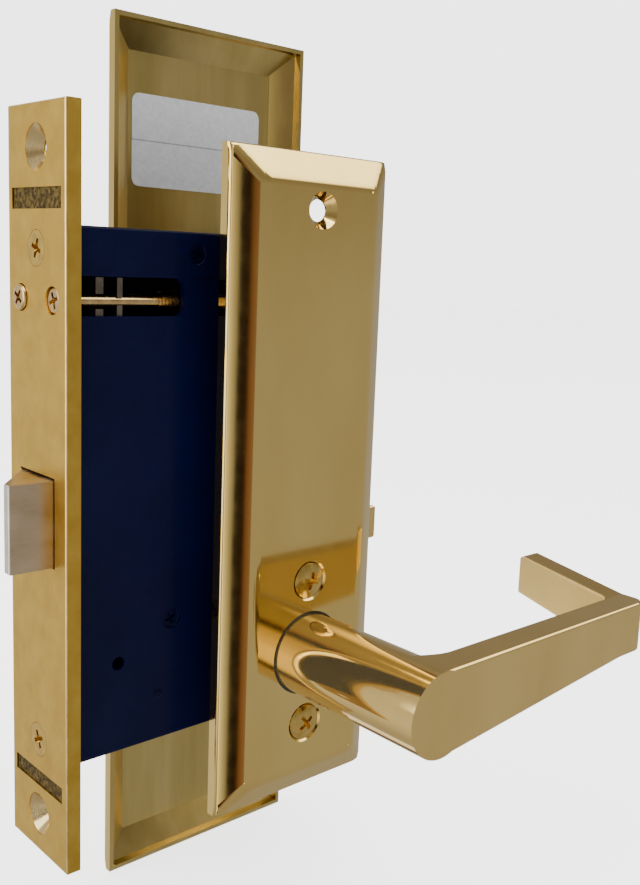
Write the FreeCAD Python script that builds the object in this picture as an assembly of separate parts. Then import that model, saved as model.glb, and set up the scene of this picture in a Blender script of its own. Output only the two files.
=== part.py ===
"""Mortise lock: faceplate and case, latch work, key cylinder, two lever escutcheons.

Frame: +X runs from the front of the faceplate into the door (the backset), Y runs through the
door with the inside at -Y, +Z is up. The origin is the centre of the front of the faceplate.
"""
import math
import os

import FreeCAD
import Part

V = FreeCAD.Vector

# ---- driving dimensions, millimetres ----
BACKSET = 69.85             # faceplate front to the line of the levers and the cylinder
LEVER_Z = -50.0             # height of the lever axis
CYLINDER_Z = 52.4           # height of the cylinder hole and its set screws
FACE_HEIGHT = 203.2
FACE_WIDTH = 31.75
FACE_THICK = 4.2
MOUNT_SPACING = 180.975     # between the two wood screw holes of the faceplate
CASE_REAR = 104.0
CASE_TOP = 71.5
CASE_BOTTOM = -72.5
CASE_HALF = 12.7            # half of the 1 inch case
WALL = 2.0
DOOR_HALF = 22.2            # half of a 1-3/4 inch door
SHEET = 1.4                 # escutcheon sheet
PAN_SIDE = 3.6              # upright edge of an escutcheon
PAN_DEPTH = 8.8             # rim to the flat face
PAN_INSET = 8.4             # width of the sloping border
FRONT_PLATE = (57.15, 190.5)
REAR_PLATE = (69.85, 266.7)
BOLT_OFFSET = 22.15         # escutcheon screws above and below the lever axis
LATCH_THROW = 12.2
LATCH_HALF = 9.3            # half of the latch bolt's width through the door
LATCH_TOP = 6.1
LATCH_BOTTOM = -17.1
SET_SCREW_Y = 8.6
NECK_R = 12.0
ARM_OUT = 55.0              # lever neck, from the escutcheon face to the front of the arm
ARM_REACH = 96.5           # lever axis to the outside of the return
ARM_THICK = 9.0
SPINDLE = 8.0
CYLINDER_R = 14.6
RUN = 0.05                  # radial clearance of a running fit

FACE_Y = DOOR_HALF + PAN_DEPTH
INNER_HALF = CASE_HALF - WALL
UPPER_BOLT_Z = LEVER_Z + BOLT_OFFSET
LOWER_BOLT_Z = LEVER_Z - BOLT_OFFSET
COVER_SCREWS = ((41.0, 65.6), (34.1, -37.2), (97.5, 60.0), (97.5, -38.8))
PLUG_Z = CYLINDER_Z - 2.5   # the key plug sits low in its cylinder


def box(x0, x1, y0, y1, z0, z1):
    return Part.makeBox(x1 - x0, y1 - y0, z1 - z0, V(x0, y0, z0))


def cyl_y(x, z, radius, y0, y1):
    return Part.makeCylinder(radius, y1 - y0, V(x, y0, z), V(0, 1, 0))


def cyl_x(y, z, radius, x0, x1):
    return Part.makeCylinder(radius, x1 - x0, V(x0, y, z), V(1, 0, 0))


def cone_y(x, z, r0, r1, y0, y1):
    return Part.makeCone(r0, r1, y1 - y0, V(x, y0, z), V(0, 1, 0))


def cone_x(y, z, r0, r1, x0, x1):
    return Part.makeCone(r0, r1, x1 - x0, V(x0, y, z), V(1, 0, 0))


def ring_y(x, z, r_in, r_out, y0, y1):
    return cyl_y(x, z, r_out, y0, y1).cut(cyl_y(x, z, r_in, y0 - 1, y1 + 1))


def fuse(first, *rest):
    return first.fuse(list(rest)).removeSplitter()


def cut(shape, *tools):
    return shape.cut(list(tools))


def prism_y(points, y0, y1):
    """A flat outline in X and Z, extruded through the door."""
    wire = Part.makePolygon([V(x, y0, z) for x, z in points + points[:1]])
    return Part.Face(wire).extrude(V(0, y1 - y0, 0))


def prism_z(points, z0, z1):
    """A flat outline in X and Y, extruded upwards."""
    wire = Part.makePolygon([V(x, y, z0) for x, y in points + points[:1]])
    return Part.Face(wire).extrude(V(0, 0, z1 - z0))


def prism_x(points, x0, x1):
    """A flat outline in Y and Z, extruded along the backset."""
    wire = Part.makePolygon([V(x0, y, z) for y, z in points + points[:1]])
    return Part.Face(wire).extrude(V(x1 - x0, 0, 0))


def mirror_y(shape):
    return shape.mirror(V(0, 0, 0), V(0, 1, 0))


def edges_where(shape, test):
    return [edge for edge in shape.Edges if test(edge.BoundBox)]


def wire_coil(wire_r, coil_r, pitch, length, per_turn=16):
    """Round wire wound about +Z, from short straight pieces between circles square to the helix."""
    count = round(per_turn * length / pitch)
    circles = []
    for i in range(count + 1):
        angle = 2 * math.pi * i / per_turn
        x, y = coil_r * math.cos(angle), coil_r * math.sin(angle)
        along = V(-y * 2 * math.pi, x * 2 * math.pi, pitch)
        circles.append(Part.Wire(Part.makeCircle(wire_r, V(x, y, length * i / count), along)))
    return Part.makeLoft(circles, True, True)


def cross_recess(size, depth, turn):
    """The four-armed driver recess of a screw, opening towards -X at x = 0."""
    width = size * 0.22
    arm = box(-0.5, depth, -size / 2, size / 2, -width / 2, width / 2)
    recess = arm.fuse(arm.rotated(V(0, 0, 0), V(1, 0, 0), 90))
    core = cone_x(0, 0, size * 0.24, size * 0.1, -0.02, depth)
    return recess.fuse(core).rotated(V(0, 0, 0), V(1, 0, 0), turn)


def flat_screw(head_r, shank_r, length, turn):
    """Countersunk screw: head flush at x = 0, shank along +X."""
    head_depth = (head_r - shank_r) * 1.1
    screw = fuse(cyl_x(0, 0, head_r, 0, 0.3), cone_x(0, 0, head_r, shank_r, 0.3, 0.3 + head_depth),
                 cyl_x(0, 0, shank_r, 0.3 + head_depth - 0.01, length))
    return screw.cut(cross_recess(head_r * 1.1, 1.5, turn))


def oval_screw(head_r, shank_r, length, crown, turn):
    """Countersunk screw with a domed head that stands `crown` above x = 0."""
    sphere_r = (head_r ** 2 + crown ** 2) / (2 * crown)
    dome = Part.makeSphere(sphere_r, V(sphere_r - crown, 0, 0))
    dome = dome.common(cyl_x(0, 0, head_r, -crown - 1, 0.2))
    head_depth = (head_r - shank_r) * 0.75
    screw = fuse(dome, cone_x(0, 0, head_r, shank_r, 0.2, 0.2 + head_depth),
                 cyl_x(0, 0, shank_r, 0.2 + head_depth - 0.01, length))
    return screw.cut(cross_recess(head_r * 1.0, 1.6, turn).translated(V(-crown * 0.75, 0, 0)))


def along_y(shape, x, y, z):
    """Turn a piece made along +X so that it points into the door (+Y)."""
    return shape.rotated(V(0, 0, 0), V(0, 0, 1), 90).translated(V(x, y, z))


def countersink_x(y, z, head_r, hole_r):
    """Hole for a flat screw through the faceplate."""
    depth = (head_r - hole_r) * 1.1
    return cyl_x(y, z, hole_r, -1, FACE_THICK + 20).fuse(
        [cyl_x(y, z, head_r, -1, 0.3), cone_x(y, z, head_r, hole_r, 0.3, 0.3 + depth)])


# ---- faceplate and what is screwed through it ----
FACE_SCREWS_Z = (65.3, -68.4)
FACE_PANELS = ((75.2, 80.6), (-82.0, -77.4))    # sunk panels, left blank
SET_HEAD_R = 3.4
SET_SHANK_R = 1.7
SET_END_X = BACKSET - CYLINDER_R - 0.35


def faceplate():
    plate = box(0, FACE_THICK, -FACE_WIDTH / 2, FACE_WIDTH / 2, -FACE_HEIGHT / 2, FACE_HEIGHT / 2)
    plate = plate.makeFillet(0.6, edges_where(plate, lambda b: b.XMax < 0.1))
    holes = [countersink_x(0, side * MOUNT_SPACING / 2, 5.9, 2.8) for side in (1, -1)]
    holes += [countersink_x(0, z, 4.75, 2.2) for z in FACE_SCREWS_Z]
    for side in (1, -1):
        holes.append(cyl_x(side * SET_SCREW_Y, CYLINDER_Z, SET_HEAD_R + 0.25, -1, 2.6))
        holes.append(cyl_x(side * SET_SCREW_Y, CYLINDER_Z, SET_SHANK_R + 0.3, -1, FACE_THICK + 1))
    for low, high in FACE_PANELS:
        holes.append(box(-1, 0.4, -13.5, 13.5, low, high))
    holes.append(box(-1, FACE_THICK + 1, -LATCH_HALF - 0.45, LATCH_HALF + 0.45,
                     LATCH_BOTTOM - 0.45, LATCH_TOP + 0.65))
    return cut(plate, *holes)


def faceplate_screws():
    screws = []
    for z, turn in zip(FACE_SCREWS_Z, (20, 65)):
        screws.append(flat_screw(4.65, 2.0, 13.0, turn).translated(V(0, 0, z)))
    return Part.makeCompound(screws)


def set_screw(side, head_x, turn):
    """Long screw that locks a cylinder: pan head, plain shank, end against the cylinder."""
    head = cyl_x(0, 0, SET_HEAD_R, 0, 2.2)
    head = head.makeFillet(0.7, edges_where(head, lambda b: b.XMax < 0.1))
    screw = head.fuse(cyl_x(0, 0, SET_SHANK_R, 2.1, SET_END_X - head_x))
    screw = screw.cut(cross_recess(4.4, 1.4, turn))
    return screw.translated(V(head_x, side * SET_SCREW_Y, CYLINDER_Z))


def screw_guide():
    """Zinc saddle behind the faceplate that the two set screws run through."""
    saddle = box(11.2, 19.0, -10.3, 10.3, 46.6, 58.6)
    channel = box(13.4, 17.4, -11, 5.0, 46, 59)
    front = [cyl_x(side * SET_SCREW_Y, CYLINDER_Z, SET_SHANK_R + 0.9, 10, 14) for side in (1, -1)]
    back = [cyl_x(side * SET_SCREW_Y, CYLINDER_Z, SET_SHANK_R + 0.25, 14, 20) for side in (1, -1)]
    return cut(saddle, channel, *front, *back)


def thread_block():
    """Block that the set screws are threaded through, just ahead of the cylinder."""
    block = box(42.2, 49.6, -10.4, 10.4, 47.4, 57.4)
    bores = [cyl_x(side * SET_SCREW_Y, CYLINDER_Z, SET_SHANK_R + RUN, 40, 52) for side in (1, -1)]
    return cut(block, *bores)


# ---- case ----
NOTCH_R = 3.7               # relief in the case edge for the lower escutcheon screw
JOURNAL_R = 8.6             # hub bearing


def through_case_holes(y0, y1):
    """Openings that the base and the cover share."""
    return [cyl_y(BACKSET, LEVER_Z, JOURNAL_R + RUN, y0, y1),
            cyl_y(BACKSET, UPPER_BOLT_Z, NOTCH_R, y0, y1),
            cyl_y(BACKSET, LOWER_BOLT_Z, NOTCH_R, y0, y1),
            cyl_y(BACKSET, CYLINDER_Z, CYLINDER_R + RUN, y0, y1)]


SLOT_END_X = 36.6
SLOT_Z = (48.7, 58.9)


def set_screw_slot(y0, y1):
    """Long window beside a set screw, open at the faceplate end."""
    low, high = SLOT_Z
    window = box(3.0, SLOT_END_X - 2.0, y0, y1, low, high)
    end = box(SLOT_END_X - 12.0, SLOT_END_X, y0, y1, low, high)
    end = end.makeFillet(3.0, edges_where(end, lambda b: b.XMin > SLOT_END_X - 0.1 and b.YLength > 1))
    return window.fuse(end)


def case_body():
    shell = box(FACE_THICK, CASE_REAR, -INNER_HALF, CASE_HALF, CASE_BOTTOM, CASE_TOP)
    shell = shell.makeFillet(0.8, edges_where(shell, lambda b: b.YMin > CASE_HALF - 0.1))
    room = box(FACE_THICK + WALL, CASE_REAR - WALL, -INNER_HALF - 1, INNER_HALF,
               CASE_BOTTOM + WALL, CASE_TOP - WALL)
    shell = shell.cut(room)
    lugs = [box(FACE_THICK + WALL, 14.5, -5.5, 5.5, 60.5, CASE_TOP - WALL),
            box(FACE_THICK + WALL, 14.5, -5.5, 5.5, CASE_BOTTOM + WALL, -64.0),
            cyl_y(BACKSET, LOWER_BOLT_Z, NOTCH_R + 1.6, -INNER_HALF, INNER_HALF).common(room),
            cyl_y(BACKSET, CYLINDER_Z, 18.0, INNER_HALF - 4.0, INNER_HALF).common(room)]
    shell = fuse(shell, *lugs)
    tools = through_case_holes(-CASE_HALF - 1, CASE_HALF + 1)
    tools += [cyl_x(0, z, 2.05, 3, 13.6) for z in FACE_SCREWS_Z]
    tools += [cyl_x(side * SET_SCREW_Y, CYLINDER_Z, SET_SHANK_R + 0.3, 3, 8) for side in (1, -1)]
    tools.append(cyl_x(SET_SCREW_Y, CYLINDER_Z, SET_SHANK_R + 0.3, 50, 57))
    tools.append(box(3, 8, -LATCH_HALF - 0.3, LATCH_HALF + 0.3, LATCH_BOTTOM - 0.3, LATCH_TOP + 0.3))
    tools += [cyl_y(x, z, 2.02, INNER_HALF - 1, CASE_HALF + 1) for x, z in COVER_SCREWS]
    tools.append(cyl_y(STOP_PIN[0], STOP_PIN[1], 1.52, INNER_HALF - 1, CASE_HALF + 1))
    return cut(shell, *tools)


def case_cover():
    plate = box(FACE_THICK, CASE_REAR, -CASE_HALF, -INNER_HALF, CASE_BOTTOM, CASE_TOP)
    plate = plate.makeFillet(0.8, edges_where(plate, lambda b: b.YMax < -CASE_HALF + 0.1))
    boss = cyl_y(BACKSET, CYLINDER_Z, 16.8, -INNER_HALF, -INNER_HALF + 2.0)
    rib = box(38.6, 50.0, -CASE_HALF - 0.35, -CASE_HALF + 0.1, 58.2, 58.8)
    plate = fuse(plate, boss, rib)
    tools = through_case_holes(-CASE_HALF - 1, -INNER_HALF + 3)
    tools.append(set_screw_slot(-CASE_HALF - 1, -INNER_HALF + 1))
    tools.append(cyl_x(-SET_SCREW_Y, CYLINDER_Z, SET_SHANK_R + 0.3, 50, 57))
    tools.append(cyl_y(17.2, -46.6, 1.9, -CASE_HALF - 1, -INNER_HALF + 1))
    tools.append(cyl_y(RIVET[0], RIVET[1], 1.02, -CASE_HALF - 1, -INNER_HALF + 1))
    for x, z in COVER_SCREWS:
        tools.append(cyl_y(x, z, 2.9, -CASE_HALF - 1, -CASE_HALF + 0.6))
        tools.append(cone_y(x, z, 2.9, 1.45, -CASE_HALF + 0.6, -INNER_HALF))
        tools.append(cyl_y(x, z, 1.45, -CASE_HALF, -INNER_HALF + 1))
    return cut(plate, *tools)


def cover_posts():
    posts = []
    for x, z in COVER_SCREWS:
        post = cyl_y(x, z, 3.2, -INNER_HALF, INNER_HALF)
        post = post.fuse(cyl_y(x, z, 2.0, INNER_HALF - 0.1, CASE_HALF))
        posts.append(post.cut(cyl_y(x, z, 1.3, -INNER_HALF - 1, -INNER_HALF + 9)))
    return Part.makeCompound(posts)


def cover_screws():
    screws = []
    for index, (x, z) in enumerate(COVER_SCREWS):
        head = fuse(cone_x(0, 0, 2.6, 1.25, 0, 1.25), cyl_x(0, 0, 1.25, 1.2, 8.0))
        head = head.cut(cross_recess(3.2, 0.9, 25 + 40 * index))
        screws.append(along_y(head, x, -CASE_HALF + 0.75, z))
    return Part.makeCompound(screws)


RIVET = (29.8, -58.8)


def case_rivet():
    """Small rivet that closes the lower front of the cover."""
    return fuse(cyl_y(*RIVET, 1.0, -CASE_HALF, -INNER_HALF),
                cone_y(*RIVET, 0.7, 1.5, -CASE_HALF - 0.4, -CASE_HALF),
                cyl_y(*RIVET, 1.6, -INNER_HALF, -INNER_HALF + 0.6))


# ---- latch ----
HEAD_BACK = 14.0
BAR_Z = (LATCH_TOP + LATCH_BOTTOM) / 2
BAR_HALF = 3.0
TAIL_HALF = 1.5
HOOK_FACE = BACKSET + 3.0   # the hub arm turns this far before it meets the tail
LEG = (73.6, 80.6)
KEY_LEG = (78.0, 83.0)
GUIDE_X = (46.0, 48.0)


def latch_bolt():
    nose = [(-LATCH_THROW, -LATCH_HALF), (-LATCH_THROW, -LATCH_HALF + 2.7), (0.4, LATCH_HALF),
            (HEAD_BACK, LATCH_HALF), (HEAD_BACK, -LATCH_HALF)]
    head = prism_z(nose, LATCH_BOTTOM, LATCH_TOP)
    head = head.makeFillet(0.45, edges_where(head, lambda b: b.XMax < -LATCH_THROW + 0.1))
    slot = box(3.0, HEAD_BACK + 1, -TAIL_HALF - RUN, TAIL_HALF + RUN,
               BAR_Z - BAR_HALF - RUN, BAR_Z + BAR_HALF + RUN)
    pins = [cyl_y(x, BAR_Z, 1.1, -LATCH_HALF - 1, LATCH_HALF + 1) for x in (6.0, 11.0)]
    return cut(head, slot, *pins)


def latch_tail():
    bar = box(3.2, LEG[1], -TAIL_HALF, TAIL_HALF, BAR_Z - BAR_HALF, BAR_Z + BAR_HALF)
    leg = box(*LEG, -TAIL_HALF, TAIL_HALF, -41.0, BAR_Z + BAR_HALF)
    hook = box(HOOK_FACE, LEG[1], -TAIL_HALF, TAIL_HALF, -41.0, -32.4)
    key_leg = box(*KEY_LEG, -TAIL_HALF, TAIL_HALF, BAR_Z - BAR_HALF, 40.0)
    tail = fuse(bar, leg, hook, key_leg)
    return cut(tail, *[cyl_y(x, BAR_Z, 1.1, -3, 3) for x in (6.0, 11.0)])


def latch_pins():
    return Part.makeCompound([cyl_y(x, BAR_Z, 1.08, -LATCH_HALF + 0.3, LATCH_HALF - 0.3) for x in (6.0, 11.0)])


def latch_guide():
    """Bent bracket on the case base: the bar slides through it and the spring pushes on it."""
    upright = box(*GUIDE_X, -8.0, INNER_HALF, BAR_Z - 9, BAR_Z + 9)
    foot = box(GUIDE_X[0], GUIDE_X[1] + 9, INNER_HALF - 2.0, INNER_HALF, BAR_Z - 9, BAR_Z + 9)
    window = box(GUIDE_X[0] - 1, GUIDE_X[1] + 1, -TAIL_HALF - 0.3, TAIL_HALF + 0.3,
                 BAR_Z - BAR_HALF - 0.3, BAR_Z + BAR_HALF + 0.3)
    return fuse(upright, foot).cut(window)


def latch_spring():
    """Compression spring around the bar, between the bolt and the guide."""
    start, end = HEAD_BACK + 0.9, GUIDE_X[0] - 0.9
    coil = wire_coil(0.55, 5.3, (end - start) / 8, end - start)
    return coil.rotated(V(0, 0, 0), V(0, 1, 0), 90).translated(V(start, 0, BAR_Z))


# ---- hub ----
HUB_R = 9.0
ARM_TIP = 16.0              # hub axis to the centre of the arm's round tip
ARM_TIP_R = 2.0
STOP_PIN = (65.4, -36.0)


def square_hole(half, y0, y1):
    return box(BACKSET - half, BACKSET + half, y0, y1, LEVER_Z - half, LEVER_Z + half)


def hub():
    core = cyl_y(BACKSET, LEVER_Z, HUB_R, -INNER_HALF + 0.3, INNER_HALF - 0.3)
    journal = cyl_y(BACKSET, LEVER_Z, JOURNAL_R, -CASE_HALF, CASE_HALF)
    arm = box(BACKSET - ARM_TIP_R, BACKSET + ARM_TIP_R, -TAIL_HALF, TAIL_HALF,
              LEVER_Z, LEVER_Z + ARM_TIP)
    tip = cyl_y(BACKSET, LEVER_Z + ARM_TIP, ARM_TIP_R, -TAIL_HALF, TAIL_HALF)
    lug = box(BACKSET + 6.0, BACKSET + 13.0, 3.0, 8.0, LEVER_Z - 1.5, LEVER_Z + 1.5)
    body = fuse(core, journal, arm, tip, lug)
    return body.cut(square_hole(SPINDLE / 2 + RUN, -CASE_HALF - 1, CASE_HALF + 1))


def hub_stop_pin():
    return fuse(cyl_y(*STOP_PIN, 2.0, -INNER_HALF, INNER_HALF),
                cyl_y(*STOP_PIN, 1.5, INNER_HALF - 0.1, CASE_HALF))


def hub_spring():
    """Torsion spring around the hub that brings the levers back to level."""
    coil = wire_coil(0.5, 10.3, 1.3, 3.9).rotated(V(0, 0, 0), V(1, 0, 0), -90)
    return coil.translated(V(BACKSET, -8.6, LEVER_Z))


def spindle():
    half = SPINDLE / 2
    bar = box(BACKSET - half, BACKSET + half, -FACE_Y - 14, FACE_Y + 14, LEVER_Z - half, LEVER_Z + half)
    return bar.makeChamfer(0.6, edges_where(bar, lambda b: b.YLength > 1))


# ---- levers ----
NECK_INNER = 25.6           # inner end of a lever neck, behind the escutcheon
TAPER_END = -4.4            # underside of the arm at its far end, from the lever axis
RETURN_TIP_Y = -FACE_Y - 10.0
RETURN_RISE = (8.5, 5.6)    # how far the return climbs to its tip, below and above


def front_lever():
    """Round neck with a flat, tapering arm whose end turns back towards the door."""
    front = -FACE_Y - ARM_OUT
    end_x = BACKSET + ARM_REACH
    neck = cyl_y(BACKSET, LEVER_Z, NECK_R, front, -NECK_INNER)
    inside = front + ARM_THICK
    plan = prism_z([(BACKSET, front), (end_x, front), (end_x, RETURN_TIP_Y),
                    (end_x - ARM_THICK, RETURN_TIP_Y), (end_x - ARM_THICK, inside),
                    (BACKSET, inside)], LEVER_Z - 2 * NECK_R, LEVER_Z + 2 * NECK_R)
    plan = plan.makeFillet(4.5, edges_where(
        plan, lambda b: b.ZLength > 1 and b.XMin > end_x - 0.1 and b.YMax < front + 0.1))
    plan = plan.makeFillet(3.0, edges_where(
        plan, lambda b: b.ZLength > 1 and abs(b.XMin - end_x + ARM_THICK) < 0.1 and b.YMax < inside + 0.1))
    low, high = LEVER_Z + TAPER_END, LEVER_Z + NECK_R
    elbow_x = end_x - ARM_THICK - 4.0
    side = prism_y([(BACKSET, high), (end_x + 1, high), (end_x + 1, low), (elbow_x, low),
                    (BACKSET + 2.0, LEVER_Z - NECK_R), (BACKSET, LEVER_Z - NECK_R)], front, inside)
    rising = prism_x([(inside, low), (RETURN_TIP_Y, low + RETURN_RISE[0]),
                      (RETURN_TIP_Y, high + RETURN_RISE[1]), (inside, high)], elbow_x, end_x + 1)
    arm = fuse(plan.common(side), plan.common(rising))
    rounded = edges_where(arm, lambda b: b.XMin > BACKSET + 1 and b.XLength + b.YLength > 1
                          and not (b.YLength < 0.01 and abs(b.YMin - inside) < 0.01))
    arm = arm.makeFillet(1.0, rounded)
    flare_r = 5.0
    flare_y = front + ARM_THICK + flare_r
    flare = ring_y(BACKSET, LEVER_Z, NECK_R - 1, NECK_R + flare_r, front + ARM_THICK - 0.5, flare_y)
    behind = prism_y([(BACKSET, high), (end_x, high), (elbow_x, low), (BACKSET + 2.0, LEVER_Z - NECK_R),
                      (BACKSET, LEVER_Z - NECK_R)], inside - 1, flare_y)
    flare = flare.cut(Part.makeTorus(NECK_R + flare_r, flare_r, V(BACKSET, flare_y, LEVER_Z), V(0, 1, 0)))
    lever = fuse(neck, arm, flare.common(behind))
    groove = ring_y(BACKSET, LEVER_Z, 11.0, NECK_R + 1, -NECK_INNER - 1.8, -NECK_INNER - 0.8)
    socket = square_hole(SPINDLE / 2 + RUN, -FACE_Y - 15.0, -NECK_INNER + 1)
    grub = Part.makeCylinder(2.0 + RUN, NECK_R, V(BACKSET, -FACE_Y - 6.0, LEVER_Z - NECK_R - 1), V(0, 0, 1))
    return cut(lever, groove, socket, grub)


def grub_screw(y):
    """Hexagon socket screw under the neck that grips the spindle."""
    top = LEVER_Z - SPINDLE / 2 - 0.1
    screw = Part.makeCylinder(2.0, top - (LEVER_Z - NECK_R + 0.8), V(BACKSET, y, LEVER_Z - NECK_R + 0.8), V(0, 0, 1))
    corners = [V(BACKSET + math.cos(math.radians(60 * k)), y + math.sin(math.radians(60 * k)),
                 LEVER_Z - NECK_R) for k in range(7)]
    return screw.cut(Part.Face(Part.makePolygon(corners)).extrude(V(0, 0, 2.8)))


def retaining_ring():
    ring = ring_y(BACKSET, LEVER_Z, 11.05, 14.2, -NECK_INNER - 1.7, -NECK_INNER - 0.9)
    return ring.cut(box(BACKSET - 3, BACKSET + 3, -40, 0, LEVER_Z - 16, LEVER_Z))


def neck_bushing():
    """Dark plastic bearing in the escutcheon, flanged behind the sheet."""
    sleeve = ring_y(BACKSET, LEVER_Z, NECK_R + RUN, NECK_R + 0.6, -FACE_Y + 0.1, -FACE_Y + SHEET)
    flange = ring_y(BACKSET, LEVER_Z, NECK_R + RUN, 14.8, -FACE_Y + SHEET + 0.02, -NECK_INNER - 2.0)
    return fuse(sleeve, ring_y(BACKSET, LEVER_Z, NECK_R + RUN, NECK_R + 0.6, -FACE_Y + 0.5, -NECK_INNER - 2.0),
                flange)


# ---- escutcheons ----
def pan(width, height, rim_y, side, depth, inset):
    """Solid outline of an escutcheon with its rim at -rim_y, facing -Y."""
    def outline(shrink, y):
        half_w, half_h = width / 2 - shrink, height / 2 - shrink
        corners = [(-half_w, -half_h), (half_w, -half_h), (half_w, half_h), (-half_w, half_h)]
        return Part.makePolygon([V(BACKSET + x, y, z) for x, z in corners + corners[:1]])
    edge = Part.Face(outline(0, -rim_y)).extrude(V(0, -side, 0))
    slope = Part.makeLoft([outline(0, -rim_y - side), outline(inset, -rim_y - depth)], True, True)
    return edge.fuse(slope)


FACE_ROUND = 6.0            # rounding where the flat face meets its sloping border
RIM_ROUND = 1.4


def escutcheon_blank(width, height):
    outer = pan(width, height, DOOR_HALF, PAN_SIDE, PAN_DEPTH, PAN_INSET)
    outer = outer.removeSplitter()
    outer = outer.makeFillet(FACE_ROUND, edges_where(outer, lambda b: b.YMin < -FACE_Y + 0.01))
    outer = outer.makeFillet(RIM_ROUND, edges_where(
        outer, lambda b: abs(b.YMax + DOOR_HALF + PAN_SIDE) < 0.01 and b.YLength < 0.01))
    slope = math.hypot(PAN_DEPTH - PAN_SIDE, PAN_INSET) / PAN_INSET
    rise = (PAN_DEPTH - PAN_SIDE) / PAN_INSET
    inner_side = PAN_SIDE + rise * SHEET - slope * SHEET
    inner_inset = (PAN_DEPTH - SHEET - inner_side) / rise
    inner = pan(width - 2 * SHEET, height - 2 * SHEET, DOOR_HALF, inner_side, PAN_DEPTH - SHEET, inner_inset)
    mouth = box(BACKSET - width / 2 + SHEET, BACKSET + width / 2 - SHEET, -DOOR_HALF - 0.2,
                -DOOR_HALF + 1, -height / 2 + SHEET, height / 2 - SHEET)
    return cut(outer, inner, mouth)


def dimple(plate, x, z, head_r, hole_r, depth):
    """Press a countersunk screw seat into the sheet of the front escutcheon."""
    seat = cone_y(x, z, head_r + 1.0, hole_r + 1.2, -FACE_Y + 0.6, -FACE_Y + depth + 0.5)
    hole = cone_y(x, z, head_r, hole_r, -FACE_Y, -FACE_Y + depth)
    return cut(plate.fuse(seat), hole, cyl_y(x, z, hole_r, -FACE_Y - 1, -FACE_Y + depth + 2),
               cyl_y(x, z, head_r, -FACE_Y - 1, -FACE_Y + 0.001))


FRONT_TOP_HOLE_Z = 79.2


def front_escutcheon():
    plate = escutcheon_blank(*FRONT_PLATE)
    plate = dimple(plate, BACKSET, FRONT_TOP_HOLE_Z, 5.2, 3.1, 2.6)
    for z in (UPPER_BOLT_Z, LOWER_BOLT_Z):
        plate = dimple(plate, BACKSET, z, 6.1, 2.4, 2.95)
    return plate.cut(cyl_y(BACKSET, LEVER_Z, NECK_R + 0.65, -FACE_Y - 1, -FACE_Y + 3))


def rear_escutcheon():
    plate = mirror_y(escutcheon_blank(*REAR_PLATE))
    return cut(plate, cyl_y(BACKSET, LEVER_Z, NECK_R + 0.65, FACE_Y - 3, FACE_Y + 1),
               cyl_y(BACKSET, CYLINDER_Z, CYLINDER_R + 0.5, FACE_Y - 3, FACE_Y + 1))


def through_posts():
    """Threaded posts staked to the rear escutcheon; the front screws go into them."""
    posts = []
    for z in (UPPER_BOLT_Z, LOWER_BOLT_Z):
        post = fuse(cyl_y(BACKSET, z, 3.2, -24.0, FACE_Y - SHEET), cyl_y(BACKSET, z, 5.5, 27.4, FACE_Y - SHEET))
        posts.append(post.cut(cyl_y(BACKSET, z, 2.05, -25, -8)))
    return Part.makeCompound(posts)


def plate_screws():
    screws = []
    for z, turn in ((UPPER_BOLT_Z, 15), (LOWER_BOLT_Z, 55)):
        screws.append(along_y(oval_screw(5.3, 2.0, 19.0, 1.3, turn), BACKSET, -FACE_Y + 0.25, z))
    return Part.makeCompound(screws)


# ---- key cylinder at the outside, blank at the inside ----
CYLINDER_INNER = 2.2
RING_DEPTH = 5.2
HEAD_BACK_Y = FACE_Y + 0.05 + RING_DEPTH
PLUG_R = 6.35
CAM_TIP = 14.0
CAM_REST = 40.0             # degrees from straight down, towards the faceplate


def cylinder_shell():
    body = cyl_y(BACKSET, CYLINDER_Z, CYLINDER_R, CYLINDER_INNER, HEAD_BACK_Y + 1)
    head = cyl_y(BACKSET, CYLINDER_Z, 17.2, HEAD_BACK_Y, HEAD_BACK_Y + 2.5)
    head = head.makeFillet(1.0, edges_where(head, lambda b: b.YMin > HEAD_BACK_Y + 2.4))
    shell = fuse(body, head)
    return shell.cut(cyl_y(BACKSET, PLUG_Z, PLUG_R + RUN, 0, HEAD_BACK_Y + 5))


def cylinder_plug():
    end = HEAD_BACK_Y + 2.7
    plug = cyl_y(BACKSET, PLUG_Z, PLUG_R, CYLINDER_INNER, end)
    keyway = fuse(box(BACKSET - 0.9, BACKSET + 0.5, 8, end + 1, PLUG_Z - 4.2, PLUG_Z + 1.0),
                  box(BACKSET - 0.3, BACKSET + 0.9, 8, end + 1, PLUG_Z - 0.5, PLUG_Z + 4.0))
    return cut(plug, keyway, *[cyl_y(BACKSET + x, PLUG_Z, 1.15, 0, 6.5) for x in (-4, 4)])


def cylinder_cam():
    y0, y1 = -0.6, CYLINDER_INNER
    cam = cyl_y(BACKSET, PLUG_Z, 6.6, y0, y1)
    arm = box(BACKSET - 2.0, BACKSET + 2.0, y0, y1, PLUG_Z - CAM_TIP, PLUG_Z)
    tip = cyl_y(BACKSET, PLUG_Z - CAM_TIP, 2.0, y0, y1)
    lever = arm.fuse(tip).rotated(V(BACKSET, 0, PLUG_Z), V(0, 1, 0), CAM_REST)
    return cut(fuse(cam, lever), *[cyl_y(BACKSET + x, PLUG_Z, 1.15, y0 - 1, y1 + 1) for x in (-4, 4)])


def cam_screws():
    screws = []
    for x in (-4, 4):
        head = cyl_y(BACKSET + x, PLUG_Z, 2.0, -1.8, -0.62)
        shank = cyl_y(BACKSET + x, PLUG_Z, 1.1, -0.7, 6.0)
        slot = box(BACKSET + x - 2.5, BACKSET + x + 2.5, -2, -1.3, PLUG_Z - 0.3, PLUG_Z + 0.3)
        screws.append(head.fuse(shank).cut(slot))
    return Part.makeCompound(screws)


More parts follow.
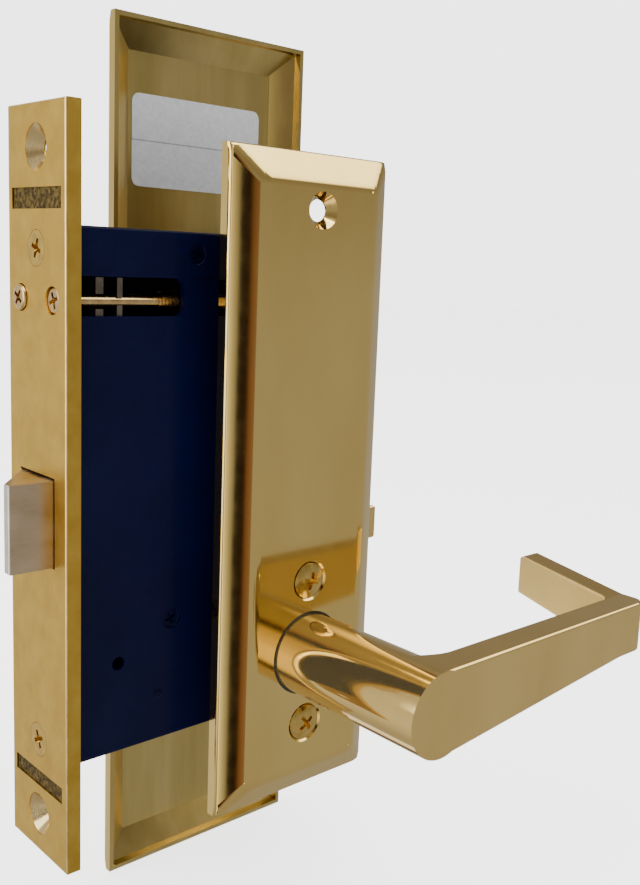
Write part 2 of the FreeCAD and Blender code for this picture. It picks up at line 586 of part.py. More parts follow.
def cylinder_ring():
    """Tapered trim ring between the outside escutcheon and the cylinder head."""
    ring = cone_y(BACKSET, CYLINDER_Z, 20.6, 18.4, FACE_Y + 0.05, HEAD_BACK_Y - 0.05)
    ring = ring.makeFillet(0.8, edges_where(ring, lambda b: b.YMin > HEAD_BACK_Y - 0.2))
    return ring.cut(cyl_y(BACKSET, CYLINDER_Z, CYLINDER_R + 0.3, FACE_Y - 1, HEAD_BACK_Y + 1))


def blank_plug():
    """Brass plug that closes the inside cylinder hole, with a broad flange."""
    barrel = cyl_y(BACKSET, CYLINDER_Z, CYLINDER_R, -CASE_HALF - 0.5, -8.4)
    flange = cyl_y(BACKSET, CYLINDER_Z, 19.85, -CASE_HALF - 3.2, -CASE_HALF - 0.2)
    flange = flange.makeFillet(0.7, edges_where(flange, lambda b: b.YMax < -CASE_HALF - 3.1))
    slot = box(BACKSET - 12, BACKSET + 12, -CASE_HALF - 4, -CASE_HALF - 1.8, CYLINDER_Z - 1, CYLINDER_Z + 1)
    return fuse(barrel, flange).cut(slot)


LABEL = (45.0, 92.4, 85.2, 112.6)    # its edges in X and Z


def rear_label():
    """Blank adhesive label inside the outside escutcheon."""
    x0, x1, z0, z1 = LABEL
    label = box(x0, x1, FACE_Y - SHEET - 0.2, FACE_Y - SHEET - 0.02, z0, z1)
    return label.makeFillet(2.5, edges_where(label, lambda b: b.YLength > 0.1))


NODES = {
    "faceplate": faceplate,
    "faceplate_screws": faceplate_screws,
    "near_set_screw": lambda: set_screw(-1, 0.35, 70),
    "far_set_screw": lambda: set_screw(1, -0.9, 35),
    "screw_guide": screw_guide,
    "thread_block": thread_block,
    "case_body": case_body,
    "case_cover": case_cover,
    "cover_posts": cover_posts,
    "cover_screws": cover_screws,
    "case_rivet": case_rivet,
    "latch_bolt": latch_bolt,
    "latch_tail": latch_tail,
    "latch_pins": latch_pins,
    "latch_guide": latch_guide,
    "latch_spring": latch_spring,
    "hub": hub,
    "hub_stop_pin": hub_stop_pin,
    "hub_spring": hub_spring,
    "spindle": spindle,
    "front_lever": front_lever,
    "rear_lever": lambda: mirror_y(front_lever()),
    "front_grub_screw": lambda: grub_screw(-FACE_Y - 6.0),
    "rear_grub_screw": lambda: grub_screw(FACE_Y + 6.0),
    "front_retaining_ring": retaining_ring,
    "rear_retaining_ring": lambda: mirror_y(retaining_ring()),
    "front_bushing": neck_bushing,
    "rear_bushing": lambda: mirror_y(neck_bushing()),
    "front_escutcheon": front_escutcheon,
    "rear_escutcheon": rear_escutcheon,
    "through_posts": through_posts,
    "plate_screws": plate_screws,
    "cylinder_shell": cylinder_shell,
    "cylinder_plug": cylinder_plug,
    "cylinder_cam": cylinder_cam,
    "cam_screws": cam_screws,
    "cylinder_ring": cylinder_ring,
    "blank_plug": blank_plug,
    "rear_label": rear_label,
}

os.makedirs("parts", exist_ok=True)
for name, make in NODES.items():
    make().exportStep("parts/" + name + ".step")
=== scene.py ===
import math

import bpy
from mathutils import Matrix, Vector


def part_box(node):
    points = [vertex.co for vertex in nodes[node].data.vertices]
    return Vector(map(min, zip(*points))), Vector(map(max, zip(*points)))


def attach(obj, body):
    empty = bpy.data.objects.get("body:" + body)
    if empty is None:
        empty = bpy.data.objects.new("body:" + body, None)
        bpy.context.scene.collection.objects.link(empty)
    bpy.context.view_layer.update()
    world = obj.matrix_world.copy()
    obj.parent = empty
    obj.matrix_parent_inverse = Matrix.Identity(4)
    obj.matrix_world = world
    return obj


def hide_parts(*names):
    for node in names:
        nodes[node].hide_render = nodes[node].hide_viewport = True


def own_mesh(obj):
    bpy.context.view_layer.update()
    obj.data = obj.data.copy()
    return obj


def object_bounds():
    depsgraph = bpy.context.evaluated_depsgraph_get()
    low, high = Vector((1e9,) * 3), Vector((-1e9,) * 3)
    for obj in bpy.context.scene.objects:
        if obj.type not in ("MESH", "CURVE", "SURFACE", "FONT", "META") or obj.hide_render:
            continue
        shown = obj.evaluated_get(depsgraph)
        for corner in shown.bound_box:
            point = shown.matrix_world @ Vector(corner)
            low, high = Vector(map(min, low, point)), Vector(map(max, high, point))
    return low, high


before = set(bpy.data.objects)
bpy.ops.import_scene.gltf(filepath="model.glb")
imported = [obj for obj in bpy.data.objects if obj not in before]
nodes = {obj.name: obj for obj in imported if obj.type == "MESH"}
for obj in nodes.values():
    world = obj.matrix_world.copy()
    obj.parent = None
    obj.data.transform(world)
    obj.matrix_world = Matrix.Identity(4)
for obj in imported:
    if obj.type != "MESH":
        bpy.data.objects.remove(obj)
cad_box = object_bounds()


# ---- studio ----
# A studio table: a pale seamless floor, a large soft light overhead, a fill to the left, and a dim room
# that the polished brass mirrors.

def camera(place, right, down, forward, focal_px, centre):
    """A lens at a place in metres, from its axes and its focal length in widths of the 885 high frame."""
    data = bpy.data.cameras.new("camera")
    data.sensor_width = 36.0
    data.sensor_fit = "AUTO"
    data.lens = focal_px / 885 * 36.0
    data.shift_x = (320 - centre[0]) / 885
    data.shift_y = (centre[1] - 442.5) / 885
    data.clip_start = 0.01
    lens = bpy.data.objects.new("camera", data)
    turn = Matrix((right, [-v for v in down], [-v for v in forward])).transposed()
    lens.matrix_world = Matrix.Translation(place) @ turn.to_4x4()
    bpy.context.scene.collection.objects.link(lens)
    bpy.context.scene.camera = lens


camera((-0.12290, -0.25273, 0.06579), (0.72371, -0.68860, 0.04557), (-0.07644, -0.14561, -0.98638),
       (0.68586, 0.71037, -0.15802), 1032.7, (369.0, 426.9))


def select_only(*objects):
    bpy.ops.object.select_all(action="DESELECT")
    for item in objects:
        item.select_set(True)
    bpy.context.view_layer.objects.active = objects[0]


FLOOR_Z = cad_box[0][2] - 0.0004
bpy.ops.object.select_all(action="DESELECT")
bpy.ops.mesh.primitive_plane_add(size=8.0, location=(0.0, 0.0, FLOOR_Z))
floor = bpy.context.object
floor.name = "floor"
bpy.ops.object.transform_apply(location=True, rotation=True, scale=True)
paper = bpy.data.materials.new("studio_paper")
paper.use_nodes = True
paper.node_tree.nodes["Principled BSDF"].inputs["Base Color"].default_value = (0.90, 0.90, 0.895, 1.0)
paper.node_tree.nodes["Principled BSDF"].inputs["Roughness"].default_value = 0.9
paper.node_tree.nodes["Principled BSDF"].inputs["Emission Color"].default_value = (1.0, 1.0, 1.0, 1.0)
paper.node_tree.nodes["Principled BSDF"].inputs["Emission Strength"].default_value = 2.6
floor.data.materials.append(paper)
floor.visible_glossy = False


def area_light(name, place, aim, size, power, colour):
    data = bpy.data.lights.new(name, "AREA")
    data.shape = "RECTANGLE"
    data.size, data.size_y = size
    data.energy = power
    data.color = colour
    lamp = bpy.data.objects.new(name, data)
    lamp.location = place
    lamp.rotation_euler = (Vector(aim) - Vector(place)).to_track_quat("-Z", "Y").to_euler()
    bpy.context.scene.collection.objects.link(lamp)
    return lamp


area_light("overhead", (-0.1, -0.25, 1.3), (0.07, 0.0, 0.0), (1.2, 1.0), 16.0, (1.0, 0.985, 0.96))
area_light("left_fill", (-1.1, 0.35, 0.45), (0.0, 0.0, 0.0), (0.9, 0.9), 7.0, (1.0, 0.99, 0.97))


def room():
    """White to the eye; a mirror sees a dim warm room with two windows and a bright and dark doorway."""
    world = bpy.data.worlds.new("room")
    bpy.context.scene.world = world
    world.use_nodes = True
    tree = world.node_tree
    tree.nodes.clear()
    new, link = tree.nodes.new, tree.links.new
    where = new("ShaderNodeTexCoord")

    def ramp(value, *stops):
        band = new("ShaderNodeValToRGB")
        band.color_ramp.interpolation = "EASE"
        while len(band.color_ramp.elements) < len(stops):
            band.color_ramp.elements.new(0.5)
        for element, (at, shade) in zip(band.color_ramp.elements, stops):
            element.position = at
            element.color = (*shade, 1.0)
        link(value, band.inputs["Fac"])
        return band.outputs["Color"]

    def toward(direction):
        """1 looking along the direction, falling to 0 at right angles to it."""
        dot = new("ShaderNodeVectorMath")
        dot.operation = "DOT_PRODUCT"
        dot.inputs[1].default_value = Vector(direction).normalized()
        link(where.outputs["Generated"], dot.inputs[0])
        return dot.outputs["Value"]

    def across(bearing):
        """0.5 looking along a bearing in degrees, and more or less to either side of it."""
        level = new("ShaderNodeVectorMath")
        level.operation = "MULTIPLY"
        level.inputs[1].default_value = (1.0, 1.0, 0.0)
        link(where.outputs["Generated"], level.inputs[0])
        unit = new("ShaderNodeVectorMath")
        unit.operation = "NORMALIZE"
        link(level.outputs["Vector"], unit.inputs[0])
        side = new("ShaderNodeVectorMath")
        side.operation = "DOT_PRODUCT"
        turn = math.radians(bearing)
        side.inputs[1].default_value = (-math.sin(turn), math.cos(turn), 0.0)
        link(unit.outputs["Vector"], side.inputs[0])
        fit = new("ShaderNodeMapRange")
        fit.inputs["From Min"].default_value = -1.0
        link(side.outputs["Value"], fit.inputs["Value"])
        return fit.outputs[0]

    def joined(kind, first, second):
        mix = new("ShaderNodeMixRGB")
        mix.blend_type = kind
        mix.inputs["Fac"].default_value = 1.0
        link(first, mix.inputs["Color1"])
        link(second, mix.inputs["Color2"])
        return mix.outputs["Color"]

    split = new("ShaderNodeSeparateXYZ")
    link(where.outputs["Generated"], split.inputs[0])
    lift = new("ShaderNodeMapRange")
    lift.inputs["From Min"].default_value = -1.0
    link(split.outputs["Z"], lift.inputs["Value"])
    none = (0.0, 0.0, 0.0)
    one = (1.0, 1.0, 1.0)
    walls = ramp(lift.outputs[0],
                 (0.0, (0.42, 0.39, 0.34)), (0.30, (0.46, 0.44, 0.40)), (0.47, (0.42, 0.40, 0.37)),
                 (0.56, (0.33, 0.31, 0.27)), (0.72, (0.26, 0.23, 0.19)), (1.0, (0.55, 0.52, 0.46)))
    window = ramp(toward((0.60, -0.31, 0.73)), (0.87, none), (0.94, (2.9, 2.75, 2.3)), (1.0, (3.3, 3.2, 2.8)))
    side_window = ramp(toward((-1.0, 0.05, 0.0)), (0.86, none), (0.97, (2.2, 2.1, 1.9)))
    far_wall = ramp(toward((-0.60, 0.78, 0.10)), (0.50, none), (0.90, (0.42, 0.40, 0.36)))
    doorway = ramp(across(-117.0),
                   (0.24, one), (0.32, (3.9, 3.7, 3.2)), (0.42, (3.1, 2.9, 2.4)), (0.46, one),
                   (0.48, (0.06, 0.05, 0.05)), (0.515, (0.05, 0.03, 0.02)), (0.54, (0.58, 0.30, 0.20)),
                   (0.60, one))
    light = joined("ADD", walls, window)
    light = joined("ADD", light, side_window)
    light = joined("ADD", light, far_wall)
    mirror = new("ShaderNodeBackground")
    link(joined("MULTIPLY", light, doorway), mirror.inputs["Color"])
    soft = new("ShaderNodeBackground")
    soft.inputs["Strength"].default_value = 1.0
    soft.inputs["Color"].default_value = (1.0, 1.0, 1.0, 1.0)
    backdrop = new("ShaderNodeBackground")
    backdrop.inputs["Color"].default_value = (1.0, 1.0, 1.0, 1.0)
    backdrop.inputs["Strength"].default_value = 3.6
    path = new("ShaderNodeLightPath")
    bounce = new("ShaderNodeMixShader")
    link(path.outputs["Is Glossy Ray"], bounce.inputs["Fac"])
    link(soft.outputs[0], bounce.inputs[1])
    link(mirror.outputs[0], bounce.inputs[2])
    seen = new("ShaderNodeMixShader")
    link(path.outputs["Is Camera Ray"], seen.inputs["Fac"])
    link(bounce.outputs[0], seen.inputs[1])
    link(backdrop.outputs[0], seen.inputs[2])
    out = new("ShaderNodeOutputWorld")
    link(seen.outputs[0], out.inputs["Surface"])


room()


# ---- faceplate ----
# An 8 inch brass bar, brushed along its length and lacquered, let into the edge of the door. The floors of
# its two sunk panels are cast rough and left dark. Its countersink cones are painted pale brass, partly the
# bare cut and partly a painted highlight.

def finish(name, base, rough, metallic=1.0):
    """A new material with its shader, and the node and link makers of its tree."""
    material = bpy.data.materials.new(name)
    material.use_nodes = True
    tree = material.node_tree
    shader = tree.nodes["Principled BSDF"]
    shader.inputs["Base Color"].default_value = (*base, 1.0)
    shader.inputs["Roughness"].default_value = rough
    shader.inputs["Metallic"].default_value = metallic
    return material, shader, tree.nodes.new, tree.links.new


def spots(new, link, stretch, scale, detail=4.0, roughness=0.55):
    """Noise over the piece's own coordinates, drawn out along an axis where stretch is small."""
    place = new("ShaderNodeTexCoord")
    fit = new("ShaderNodeMapping")
    fit.inputs["Scale"].default_value = stretch
    link(place.outputs["Object"], fit.inputs["Vector"])
    noise = new("ShaderNodeTexNoise")
    noise.inputs["Scale"].default_value = scale
    noise.inputs["Detail"].default_value = detail
    noise.inputs["Roughness"].default_value = roughness
    link(fit.outputs[0], noise.inputs["Vector"])
    return noise.outputs["Fac"]


def shade(new, link, value, dark, light, low=0.3, high=0.7):
    """A colour between dark and light as value goes from low to high."""
    ramp = new("ShaderNodeValToRGB")
    ramp.color_ramp.elements[0].position = low
    ramp.color_ramp.elements[0].color = (*dark, 1.0)
    ramp.color_ramp.elements[1].position = high
    ramp.color_ramp.elements[1].color = (*light, 1.0)
    link(value, ramp.inputs["Fac"])
    return ramp.outputs["Color"]


def spread(new, link, value, low, high, start=0.3, end=0.7):
    """The value, from start to end, as a number from low to high."""
    fit = new("ShaderNodeMapRange")
    fit.inputs["From Min"].default_value = start
    fit.inputs["From Max"].default_value = end
    fit.inputs["To Min"].default_value = low
    fit.inputs["To Max"].default_value = high
    link(value, fit.inputs["Value"])
    return fit.outputs[0]


def relief(new, link, shader, height, depth, strength=1.0):
    """Bumps depth metres high."""
    bump = new("ShaderNodeBump")
    bump.inputs["Strength"].default_value = strength
    bump.inputs["Distance"].default_value = depth
    link(height, bump.inputs["Height"])
    link(bump.outputs["Normal"], shader.inputs["Normal"])


def maths(new, link, operation, first, second=0.0):
    """A sum of two values, each a number or another node's output."""
    node = new("ShaderNodeMath")
    node.operation = operation
    for socket, value in zip(node.inputs, (first, second)):
        if isinstance(value, float):
            socket.default_value = value
        else:
            link(value, socket)
    return node.outputs[0]


def where_all(new, link, *tests):
    """1 where each (value, comparison, limit) holds, and 0 elsewhere."""
    held = None
    for value, comparison, limit in tests:
        test = maths(new, link, comparison, value, limit)
        held = test if held is None else maths(new, link, "MULTIPLY", held, test)
    return held


def axes(new, link, source="Object"):
    """The piece's own X, Y and Z, or the parts of its normal."""
    place = new("ShaderNodeTexCoord")
    split = new("ShaderNodeSeparateXYZ")
    link(place.outputs[source], split.inputs[0])
    return split.outputs


def blended(new, link, share, first, second):
    """first where share is 0 and second where it is 1."""
    mix = new("ShaderNodeMixRGB")
    link(share, mix.inputs["Fac"])
    link(first, mix.inputs["Color1"])
    link(second, mix.inputs["Color2"])
    return mix.outputs["Color"]


def give(material, *names):
    """Each node's slots take the material."""
    for name in names:
        mesh = nodes[name].data
        mesh.materials.clear()
        mesh.materials.append(material)


PANEL_DEPTHS = (0.00022, 0.0007)
PANEL_HEIGHTS = (0.0750, 0.0823)
PANEL_HALF_WIDTH = 0.01352
satin_brass, shader, new, link = finish("satin_brass", (0.62, 0.44, 0.15), 0.38)
mottle = spots(new, link, (1.0, 1.0, 1.0), 130.0)
brass = shade(new, link, mottle, (0.60, 0.38, 0.060), (0.74, 0.49, 0.095))
x, y, z = axes(new, link)
height = maths(new, link, "ABSOLUTE", z)
sunk = where_all(new, link,
                 (x, "GREATER_THAN", PANEL_DEPTHS[0]), (x, "LESS_THAN", PANEL_DEPTHS[1]),
                 (height, "GREATER_THAN", PANEL_HEIGHTS[0]), (height, "LESS_THAN", PANEL_HEIGHTS[1]),
                 (maths(new, link, "ABSOLUTE", y), "LESS_THAN", PANEL_HALF_WIDTH))
pitted = spots(new, link, (1.0, 1.0, 1.0), 900.0)
rough_floor = shade(new, link, pitted, (0.050, 0.034, 0.009), (0.24, 0.165, 0.048), 0.40, 0.68)
facing = axes(new, link, "Normal")["X"]
# Countersink cones: glossier, and painted paler brass, partly the bare cut and partly a painted highlight.
cone = where_all(new, link, (facing, "LESS_THAN", -0.30), (facing, "GREATER_THAN", -0.92))
cone_highlight_brass = shade(new, link, mottle, (0.80, 0.60, 0.28), (0.88, 0.70, 0.36))
brass = blended(new, link, cone, brass, cone_highlight_brass)
link(blended(new, link, sunk, brass, rough_floor), shader.inputs["Base Color"])
brushing = spots(new, link, (1.0, 1.0, 0.04), 5200.0, 2.0)
satin = spread(new, link, brushing, 0.32, 0.46)
satin = maths(new, link, "ADD", satin, maths(new, link, "MULTIPLY", sunk, 0.15))
satin = maths(new, link, "SUBTRACT", satin, maths(new, link, "MULTIPLY", cone, 0.24))
link(satin, shader.inputs["Roughness"])
relief(new, link, shader, brushing, 0.000012)
give(satin_brass, "faceplate")


# ---- escutcheons ----
# Two plates pressed from 1.4 mm brass sheet, buffed to a mirror on the outside and lacquered. Their rims
# are turned back to the door. The inside is left as rolled: duller, browner and streaked.

BACKSET = 0.06985
CROWN = 0.00019


def lacquer(shader):
    shader.inputs["Coat Weight"].default_value = 0.25
    shader.inputs["Coat Roughness"].default_value = 0.04


def plate_finish(name, inward, flat_half, half):
    """Buffed outside, rolled inside, where the normal's Y has the sign of inward. The sloping borders at the
    sides, from flat_half to half of the width, are crowned a little by the press."""
    material, shader, new, link = finish(name, (0.87, 0.66, 0.24), 0.085)
    lacquer(shader)
    normal = axes(new, link, "Normal")
    inside = maths(new, link, "GREATER_THAN", maths(new, link, "MULTIPLY", normal["Y"], inward), 0.25)
    cloud = spots(new, link, (1.0, 1.0, 0.4), 38.0)
    outer = shade(new, link, cloud, (0.80, 0.58, 0.19), (0.87, 0.66, 0.24))
    rolled = spots(new, link, (1.0, 1.0, 0.12), 120.0)
    inner = shade(new, link, rolled, (0.50, 0.39, 0.13), (0.66, 0.52, 0.21))
    link(blended(new, link, inside, outer, inner), shader.inputs["Base Color"])
    haze = spread(new, link, spots(new, link, (1.0, 1.0, 1.0), 210.0), 0.068, 0.11)
    dulled = maths(new, link, "MULTIPLY", inside, 0.21)
    link(maths(new, link, "ADD", haze, dulled), shader.inputs["Roughness"])
    off_middle = maths(new, link, "SUBTRACT", axes(new, link)["X"], BACKSET)
    off_middle = maths(new, link, "ABSOLUTE", off_middle)
    over = spread(new, link, off_middle, -1.0, 1.0, flat_half, half)
    rise = maths(new, link, "SUBTRACT", 1.0, maths(new, link, "MULTIPLY", over, over))
    sloping = maths(new, link, "GREATER_THAN", maths(new, link, "ABSOLUTE", normal["X"]), 0.12)
    crown = maths(new, link, "MULTIPLY", rise, sloping)
    waves = spots(new, link, (1.0, 1.0, 0.3), 60.0, 2.0)
    bump = new("ShaderNodeBump")
    bump.inputs["Distance"].default_value = CROWN
    link(crown, bump.inputs["Height"])
    finer = new("ShaderNodeBump")
    finer.inputs["Strength"].default_value = 0.5
    finer.inputs["Distance"].default_value = 0.00006
    link(waves, finer.inputs["Height"])
    link(bump.outputs["Normal"], finer.inputs["Normal"])
    link(finer.outputs["Normal"], shader.inputs["Normal"])
    return material


give(plate_finish("front_plate_brass", 1.0, 0.0202, 0.0286), "front_escutcheon")
give(plate_finish("rear_plate_brass", -1.0, 0.0265, 0.0349), "rear_escutcheon")


# ---- lever handles ----
# Cast brass levers with a flat arm and a returned end, clear lacquered. The wheel doesn't reach the inside
# of the return, so that face is satin.

RETURN_START = 0.12
lever_brass, shader, new, link = finish("lever_brass", (0.79, 0.58, 0.21), 0.075)
lacquer(shader)
unbuffed = where_all(new, link,
                     (axes(new, link)["X"], "GREATER_THAN", RETURN_START),
                     (axes(new, link, "Normal")["X"], "LESS_THAN", -0.6))
cloud = spots(new, link, (1.0, 1.0, 0.4), 38.0)
link(shade(new, link, cloud, (0.70, 0.50, 0.17), (0.79, 0.58, 0.22)), shader.inputs["Base Color"])
haze = spread(new, link, spots(new, link, (1.0, 1.0, 1.0), 210.0), 0.060, 0.098)
hazier = maths(new, link, "MULTIPLY", unbuffed, 0.30)
link(maths(new, link, "ADD", haze, hazier), shader.inputs["Roughness"])
paler = maths(new, link, "MULTIPLY", unbuffed, 0.50)
link(maths(new, link, "SUBTRACT", 0.95, paler), shader.inputs["Metallic"])
relief(new, link, shader, spots(new, link, (1.0, 1.0, 0.3), 60.0, 2.0), 0.00006, 0.5)
give(lever_brass, "front_lever", "rear_lever")


# ---- lock case ----
# Folded steel case and its flat cover, dipped in dark navy baked enamel with a slight orange peel.

def enamel(name, dark, light, low, high):
    material, shader, new, link = finish(name, light, low, 0.0)
    shader.inputs["Specular IOR Level"].default_value = 0.08
    pooling = spots(new, link, (1.0, 1.0, 1.0), 26.0)
    link(shade(new, link, pooling, dark, light), shader.inputs["Base Color"])
    peel = spots(new, link, (1.0, 1.0, 1.0), 900.0, 2.0)
    link(spread(new, link, peel, low, high), shader.inputs["Roughness"])
    relief(new, link, shader, peel, 0.00003, 0.6)
    return material


give(enamel("navy_enamel", (0.0003, 0.0009, 0.0100), (0.0006, 0.0014, 0.0170), 0.30, 0.42),
     "case_body", "case_cover")
give(enamel("navy_screws", (0.0004, 0.0008, 0.0070), (0.0009, 0.0016, 0.0150), 0.24, 0.40),
     "cover_screws", "case_rivet")


# ---- face and plate screws ----
# Phillips flat and oval head screws, brass plated to match the faceplate and the escutcheons.

def plated(name, dark, light, low, high, speck=420.0):
    """Electroplate or bare machined metal: fine tarnish that also breaks up the shine."""
    material, shader, new, link = finish(name, light, low)
    tarnish = spots(new, link, (1.0, 1.0, 1.0), speck)
    link(shade(new, link, tarnish, dark, light), shader.inputs["Base Color"])
    link(spread(new, link, tarnish, low, high), shader.inputs["Roughness"])
    relief(new, link, shader, tarnish, 0.00002, 0.6)
    return material


give(plated("face_screw_brass", (0.58, 0.38, 0.08), (0.72, 0.50, 0.13), 0.24, 0.40),
     "faceplate_screws")
give(plated("plate_screw_brass", (0.62, 0.42, 0.11), (0.80, 0.58, 0.19), 0.12, 0.24),
     "plate_screws")


# ---- set screws ----
# Two long screws that lock the key cylinder, bright plated, with a pinkish wash on the shank. The rolled
# thread at the far end of each is a ridge of its own, wound on the shank.

set_screw_metal = plated("set_screw_plate", (0.60, 0.41, 0.17), (0.80, 0.60, 0.31), 0.14, 0.28, 600.0)
give(set_screw_metal, "near_set_screw", "far_set_screw")


def wound(name, place, profile_r, corners, coil_r, pitch, turns, steps):
    """A helix along X from place: a round or three sided section wound on a circle."""
    bpy.ops.object.select_all(action="DESELECT")
    bpy.ops.mesh.primitive_circle_add(vertices=corners, radius=profile_r, fill_type="NGON",
                                      location=(0, 0, 0))
    piece = bpy.context.object
    piece.name = name
    bpy.ops.object.mode_set(mode="EDIT")
    bpy.ops.mesh.select_all(action="SELECT")
    bpy.ops.transform.rotate(value=math.pi / 2, orient_axis="X", center_override=(0, 0, 0))
    bpy.ops.transform.translate(value=(0.0, 0.0, coil_r))
    bpy.ops.object.mode_set(mode="OBJECT")
    winding = piece.modifiers.new("winding", "SCREW")
    winding.axis = "X"
    winding.screw_offset = pitch
    winding.iterations = turns
    winding.steps = steps
    winding.render_steps = steps
    winding.use_merge_vertices = True
    select_only(piece)
    bpy.ops.object.modifier_apply(modifier="winding")
    bpy.ops.object.mode_set(mode="EDIT")
    bpy.ops.mesh.select_all(action="SELECT")
    bpy.ops.mesh.remove_doubles(threshold=0.000001)
    bpy.ops.mesh.select_all(action="DESELECT")
    bpy.ops.mesh.select_non_manifold()
    bpy.ops.mesh.edge_face_add()
    bpy.ops.mesh.select_all(action="SELECT")
    bpy.ops.mesh.normals_make_consistent(inside=False)
    bpy.ops.object.mode_set(mode="OBJECT")
    piece.location = place
    bpy.ops.object.transform_apply(location=True, rotation=True, scale=True)
    return piece


CYLINDER_Z = 0.0524
SET_SCREW_Y = 0.0086
SHANK_R = 0.0017
THREAD_START = 0.0302
THREAD_PITCH = 0.00106
THREAD_TURNS = 11
THREAD_RIDGE_R = 0.00042
for name, side in (("near_set_screw_thread", -1), ("far_set_screw_thread", 1)):
    thread = wound(name, (THREAD_START, side * SET_SCREW_Y, CYLINDER_Z), THREAD_RIDGE_R, 3,
                   SHANK_R + 0.00002, THREAD_PITCH, THREAD_TURNS, 28)
    thread.data.materials.append(set_screw_metal)
    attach(thread, "case")


# ---- works ----
# Zinc plated and stamped steel pieces inside the case, dulled by oil. The screw guide in the faceplate's slot
# is painted near black: painted shade.

give(plated("zinc_plate", (0.42, 0.42, 0.39), (0.60, 0.61, 0.60), 0.25, 0.42, 300.0),
     "cover_posts", "latch_guide", "hub_stop_pin", "through_posts", "spindle", "latch_pins",
     "cam_screws", "thread_block")
# The screw guide's near black colour is painted shade for the slot it sits in.
give(plated("slot_shade_steel", (0.16, 0.14, 0.11), (0.30, 0.27, 0.22), 0.26, 0.40, 260.0),
     "screw_guide")
give(plated("cast_steel", (0.32, 0.31, 0.29), (0.47, 0.46, 0.44), 0.34, 0.52, 700.0),
     "hub", "latch_tail", "cylinder_cam")


# ---- springs ----
# Round music wire, oil dark. The latch spring is wound round the bolt's bar; the hub spring brings the levers
# back level.

wire_steel = plated("music_wire", (0.12, 0.115, 0.11), (0.26, 0.255, 0.25), 0.22, 0.36, 500.0)
give(wire_steel, "hub_spring")
WIRE_R = 0.00055
COIL_R = 0.0053
COIL_TURNS = 8
low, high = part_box("latch_spring")
coil_length = high.x - low.x - 2 * WIRE_R
coil_z = (low.z + high.z) / 2
latch_spring = wound("latch_coil", (low.x + WIRE_R, 0.0, coil_z), WIRE_R, 12, COIL_R,
                     coil_length / COIL_TURNS, COIL_TURNS, 40)
latch_spring.data.materials.append(wire_steel)
select_only(latch_spring)
bpy.ops.object.shade_smooth_by_angle(angle=math.radians(50))
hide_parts("latch_spring")
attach(latch_spring, "case")
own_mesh(latch_spring)


# ---- retaining rings and grub screws ----
# Blackened spring steel rings that hold each lever in its escutcheon, and socket grub screws that lock the
# levers to the spindle.

give(plated("black_oxide", (0.020, 0.019, 0.018), (0.060, 0.056, 0.050), 0.30, 0.45, 800.0),
     "front_retaining_ring", "rear_retaining_ring")
give(plated("grub_screw_steel", (0.05, 0.045, 0.035), (0.16, 0.14, 0.10), 0.25, 0.40, 800.0),
     "front_grub_screw", "rear_grub_screw")


# ---- latch bolt ----
# Cast brass bolt, its bevel and tip rubbed by the strike and painted near white as a painted highlight, its
# flanks left as cast.

latch_brass, shader, new, link = finish("latch_brass", (0.60, 0.48, 0.33), 0.32)
rubbed = spots(new, link, (0.3, 1.0, 1.0), 240.0)
normal = axes(new, link, "Normal")
tip = maths(new, link, "LESS_THAN", normal["X"], -0.2)
flank = shade(new, link, rubbed, (0.56, 0.43, 0.29), (0.70, 0.58, 0.44))
# The faces toward the strike are painted near white: wear from the strike and a painted highlight.
rubbed_and_highlit = shade(new, link, rubbed, (0.74, 0.70, 0.62), (0.90, 0.88, 0.84))
link(blended(new, link, tip, flank, rubbed_and_highlit), shader.inputs["Base Color"])
link(spread(new, link, rubbed, 0.26, 0.42), shader.inputs["Roughness"])
relief(new, link, shader, rubbed, 0.00002, 0.6)
give(latch_brass, "latch_bolt")


# ---- key cylinder ----
# A rim of turned brass with the rings of the lathe on it, the plug that the key turns, and the blank that
# fills the plate on the inside.

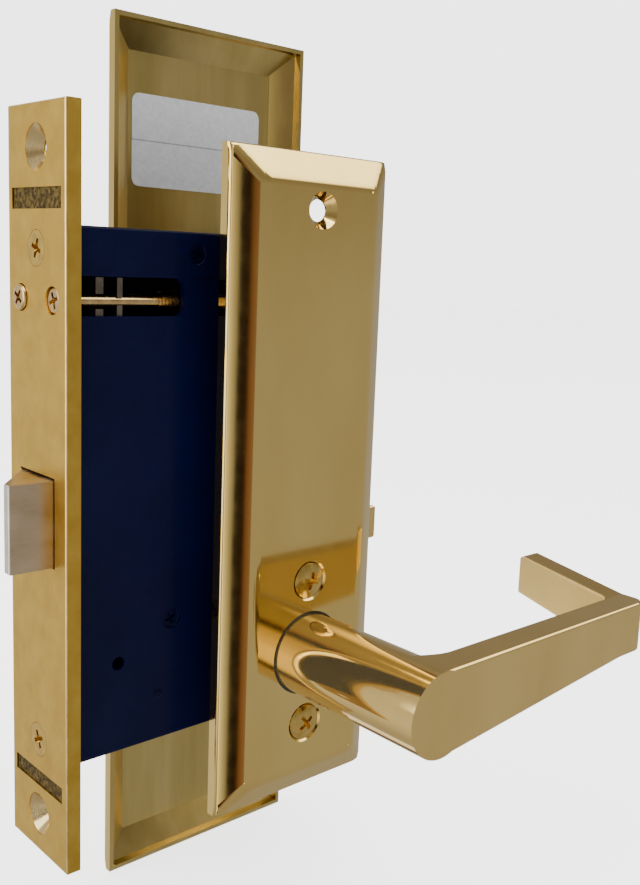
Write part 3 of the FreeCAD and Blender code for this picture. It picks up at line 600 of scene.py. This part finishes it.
def turned(name, dark, light, centre, rough):
    """Turned brass: fine rings round an axis along Y."""
    material, shader, new, link = finish(name, light, rough)
    place = new("ShaderNodeTexCoord")
    fit = new("ShaderNodeMapping")
    fit.inputs["Location"].default_value = (-centre[0], 0.0, -centre[1])
    link(place.outputs["Object"], fit.inputs["Vector"])
    rings = new("ShaderNodeTexWave")
    rings.wave_type = "RINGS"
    rings.rings_direction = "Y"
    rings.inputs["Scale"].default_value = 900.0
    rings.inputs["Distortion"].default_value = 1.5
    link(fit.outputs[0], rings.inputs["Vector"])
    cloud = spots(new, link, (1.0, 1.0, 1.0), 160.0)
    link(shade(new, link, cloud, dark, light), shader.inputs["Base Color"])
    smear = spread(new, link, rings.outputs["Fac"], rough * 0.8, rough * 1.3, 0.0, 1.0)
    link(smear, shader.inputs["Roughness"])
    relief(new, link, shader, rings.outputs["Fac"], 0.000006)
    return material


CYLINDER_AXIS = (BACKSET, CYLINDER_Z)
give(turned("cylinder_brass", (0.64, 0.45, 0.16), (0.75, 0.55, 0.23), CYLINDER_AXIS, 0.20),
     "cylinder_shell", "cylinder_plug", "blank_plug")
give(turned("collar_brass", (0.78, 0.56, 0.19), (0.86, 0.65, 0.25), CYLINDER_AXIS, 0.10),
     "cylinder_ring")


# ---- bushings and label ----
# Black nylon bearings moulded for the lever necks, and a paper label stuck inside the outer plate.

black_nylon, shader, new, link = finish("black_nylon", (0.012, 0.011, 0.010), 0.5, 0.0)
grain = spots(new, link, (1.0, 1.0, 1.0), 1500.0, 2.0)
link(shade(new, link, grain, (0.008, 0.007, 0.006), (0.020, 0.018, 0.016)), shader.inputs["Base Color"])
link(spread(new, link, grain, 0.42, 0.58), shader.inputs["Roughness"])
relief(new, link, shader, grain, 0.00002, 0.5)
give(black_nylon, "front_bushing", "rear_bushing")

RULE_HALF = 0.0002
label_paper, shader, new, link = finish("label_paper", (0.60, 0.60, 0.62), 0.5, 0.0)
fibre = spots(new, link, (1.0, 1.0, 1.0), 700.0, 3.0)
paper_tone = shade(new, link, fibre, (0.36, 0.36, 0.38), (0.43, 0.43, 0.45))
printed_rule = shade(new, link, fibre, (0.16, 0.16, 0.18), (0.22, 0.22, 0.24))
low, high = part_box("rear_label")
off_middle = maths(new, link, "SUBTRACT", axes(new, link)["Z"], (low.z + high.z) / 2)
rule = maths(new, link, "LESS_THAN", maths(new, link, "ABSOLUTE", off_middle), RULE_HALF)
link(blended(new, link, rule, paper_tone, printed_rule), shader.inputs["Base Color"])
relief(new, link, shader, fibre, 0.00002, 0.5)
give(label_paper, "rear_label")
